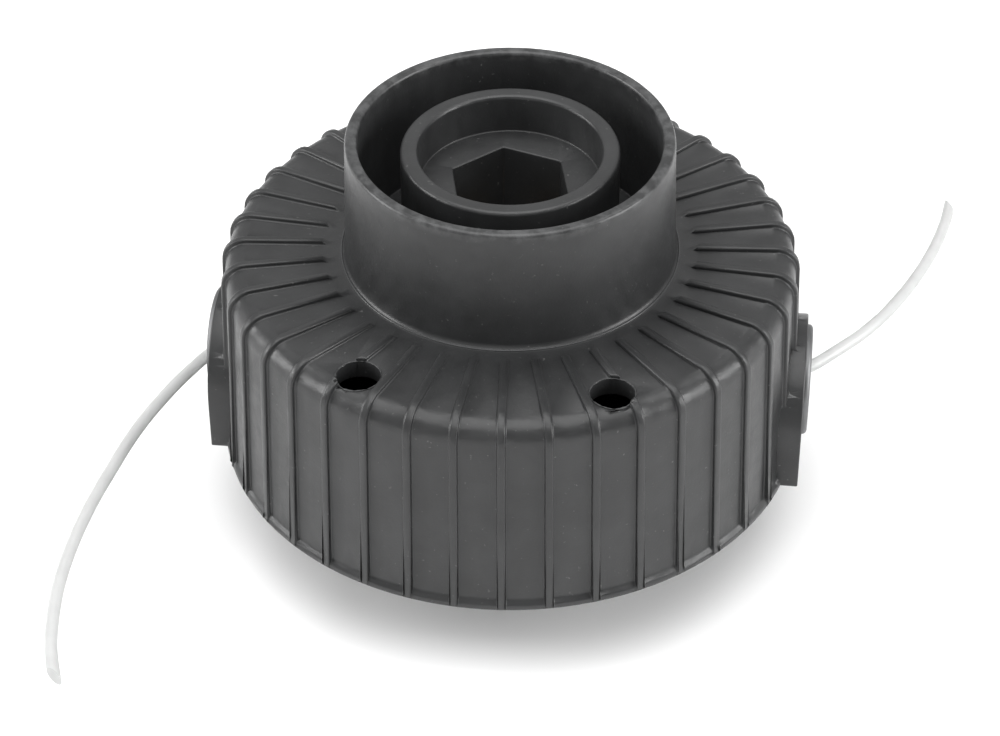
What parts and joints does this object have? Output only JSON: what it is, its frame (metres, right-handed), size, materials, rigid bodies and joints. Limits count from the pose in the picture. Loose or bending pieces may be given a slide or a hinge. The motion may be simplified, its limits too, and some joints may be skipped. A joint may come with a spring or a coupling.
{
  "type": "line trimmer head",
  "caption": "Bump-feed head for a grass trimmer: ribbed cup housing with collar, hexagon drive, side line eyelets, sprung knob and line reel.",
  "frame": {"origin": "centre of the knob's flat foot, on the axis of rotation", "axes": "+Z along the axis of rotation towards the drive side; +X through the eyelet on the right of the picture"},
  "size_m": [0.1375, 0.1354, 0.0718],
  "materials": {
    "housing_plastic": "satin moulded nylon, faintly mottled",
    "knob_plastic": "satin moulded nylon",
    "reel_plastic": "satin moulded nylon",
    "eyelet_metal": "turned, bright",
    "insert_brass": "turned",
    "bolt_steel": "zinc plated",
    "spring_steel": "drawn wire",
    "line_nylon": "clear to milky nylon, translucent"
  },
  "bodies": {
    "housing": {"housing": "housing_plastic", "eyelet_left": "eyelet_metal", "eyelet_right": "eyelet_metal", "threaded_insert": "insert_brass", "knob_bolt": "bolt_steel", "bolt_washer": "bolt_steel", "spring": "spring_steel", "line_tail_left": "line_nylon", "line_tail_right": "line_nylon"},
    "knob": {"bump_knob": "knob_plastic", "spring_ring": "bolt_steel"},
    "reel": {"reel": "reel_plastic", "line_winding_lower": "line_nylon", "line_winding_upper": "line_nylon"}
  },
  "joints": [
    {"name": "bump", "type": "slide", "parent": "housing", "child": "knob", "axis": [0, 0, 1], "range_m": [0, 0.0055], "stiffness_N_per_m": 1500, "springref_m": -0.01, "deforming": ["spring"]},
    {"name": "reel_turn", "type": "hinge", "parent": "knob", "child": "reel", "pos_m": [0, 0, 0.0152], "axis": [0, 0, 1], "continuous": true}
  ]
}
